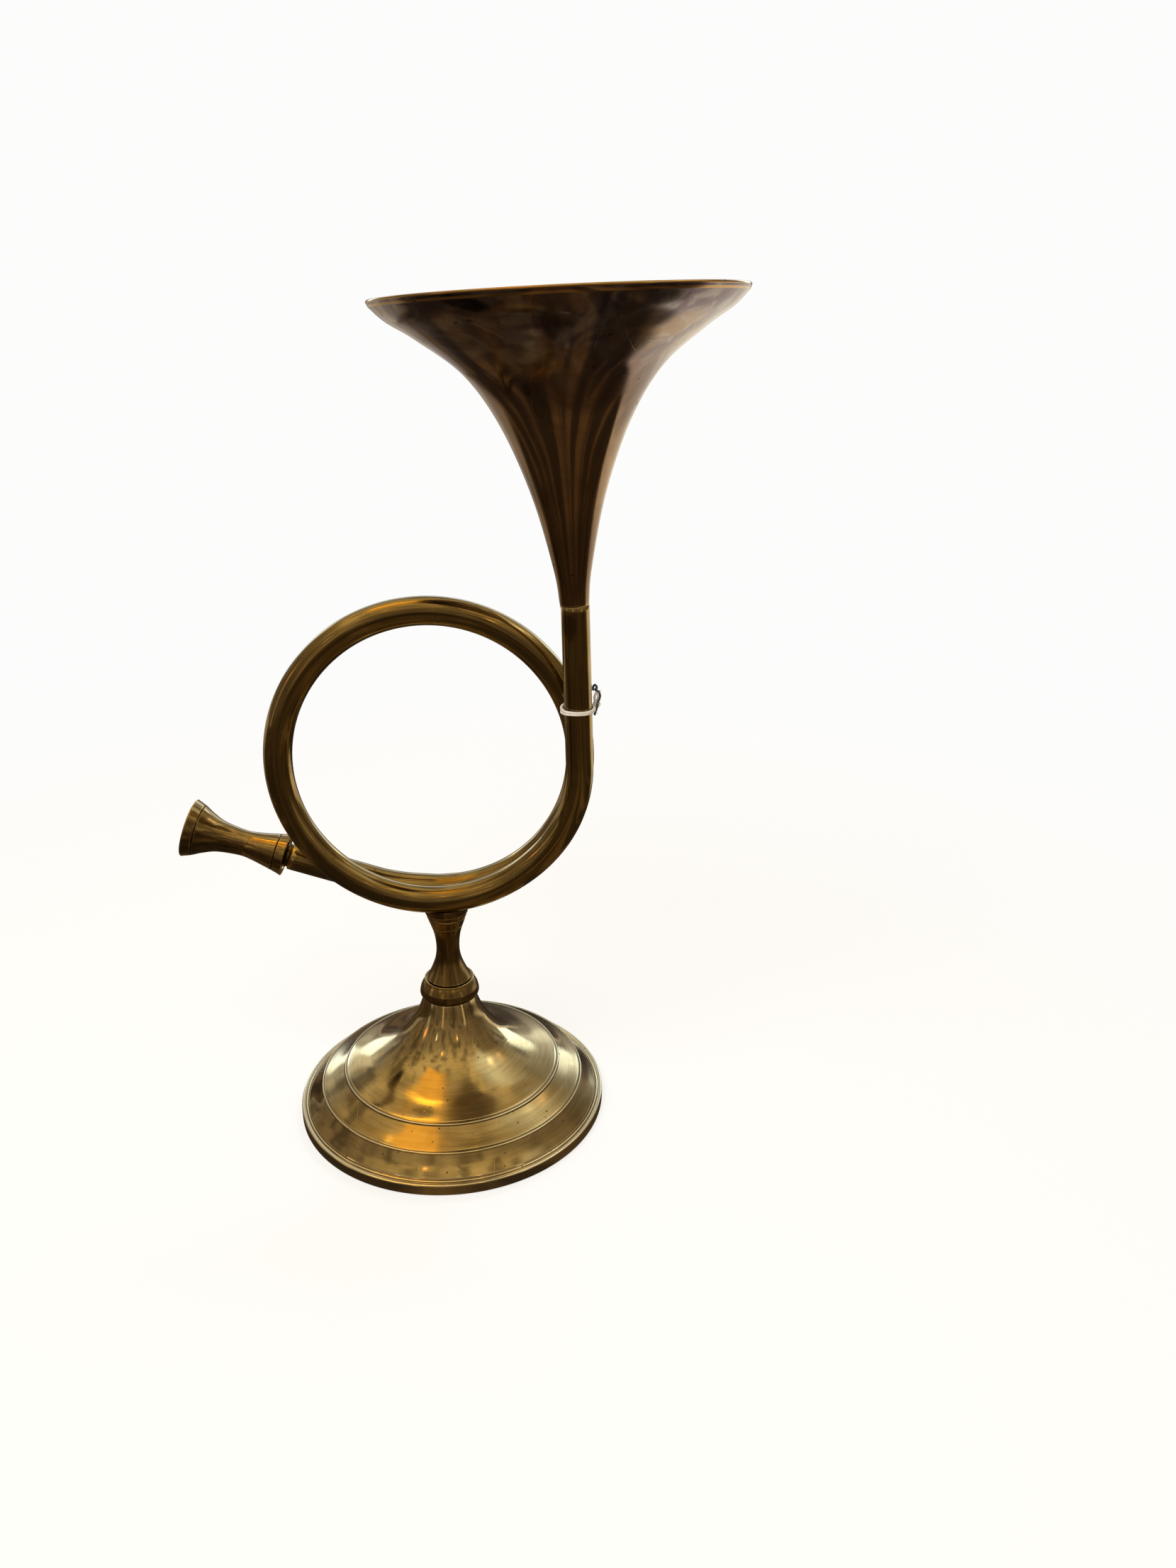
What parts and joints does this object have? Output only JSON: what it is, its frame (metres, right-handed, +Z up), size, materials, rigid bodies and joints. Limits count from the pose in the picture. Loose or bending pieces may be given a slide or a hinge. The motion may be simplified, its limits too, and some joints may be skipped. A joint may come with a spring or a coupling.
{
  "type": "bugle candlestick",
  "caption": "Brass bugle with one upright loop, a flared bell and a screw-off mouthpiece, on a turned pedestal, with a lift-out candle insert.",
  "frame": {"origin": "on the surface that the foot stands on, under the middle of the whole object's box; the stem's axis stands 1.9 mm to -X and 2.4 mm to +Y of it", "axes": "+Z up, the longest way; +X towards the bell's side, away from the mouthpiece; +Y to the back, across the loop, the shortest way"},
  "size_m": [0.235, 0.1445, 0.355],
  "materials": {
    "foot_brass": "satin, polished and lightly spotted",
    "stem_brass": "turned, aged to a brown gold",
    "horn_brass": "drawn tube, aged olive brown with worn gold streaks",
    "bell_brass": "spun, mottled dark brown tarnish",
    "insert_brass": "spun, satin",
    "plated_steel": "plated, dull",
    "solder": "bright soft solder",
    "cotton": "white twisted cotton",
    "dark_thread": "frayed black thread"
  },
  "bodies": {
    "stand": {"foot": "foot_brass", "foot_washer": "foot_brass", "foot_nut": "plated_steel", "tie_rod": "plated_steel", "stem_collar": "stem_brass", "stem_column": "stem_brass", "loop_saddle": "stem_brass", "horn_tube": "horn_brass", "bell_sleeve": "horn_brass", "bell_solder_ring": "solder", "bell": "bell_brass", "mouthpiece_nipple": "horn_brass", "string_wraps": "cotton", "string_knot": "cotton", "string_end_upper": "dark_thread", "string_end_lower": "dark_thread"},
    "mouthpiece_thread": {"mouthpiece_bush": "horn_brass"},
    "mouthpiece_shell": {"mouthpiece": "horn_brass"},
    "candle_insert": {"drip_pan": "insert_brass", "candle_socket": "insert_brass"}
  },
  "joints": [
    {"name": "mouthpiece_advance", "type": "slide", "parent": "stand", "child": "mouthpiece_thread", "axis": [-0.9553, 0, 0.2957], "range_m": [0, 0.006]},
    {"name": "mouthpiece_turn", "type": "hinge", "parent": "mouthpiece_thread", "child": "mouthpiece_shell", "pos_m": [-0.07222, 0.0085, 0.12156], "axis": [-0.9553, 0, 0.2957], "range_deg": [0, 2160]},
    {"name": "candle_lift", "type": "slide", "parent": "stand", "child": "candle_insert", "axis": [-0.0523, 0.0175, 0.9985], "range_m": [0, 0.055]}
  ],
  "couplings": [
    {"joint": "mouthpiece_turn", "follows": "mouthpiece_advance", "rad_per_m": 6283.2}
  ]
}
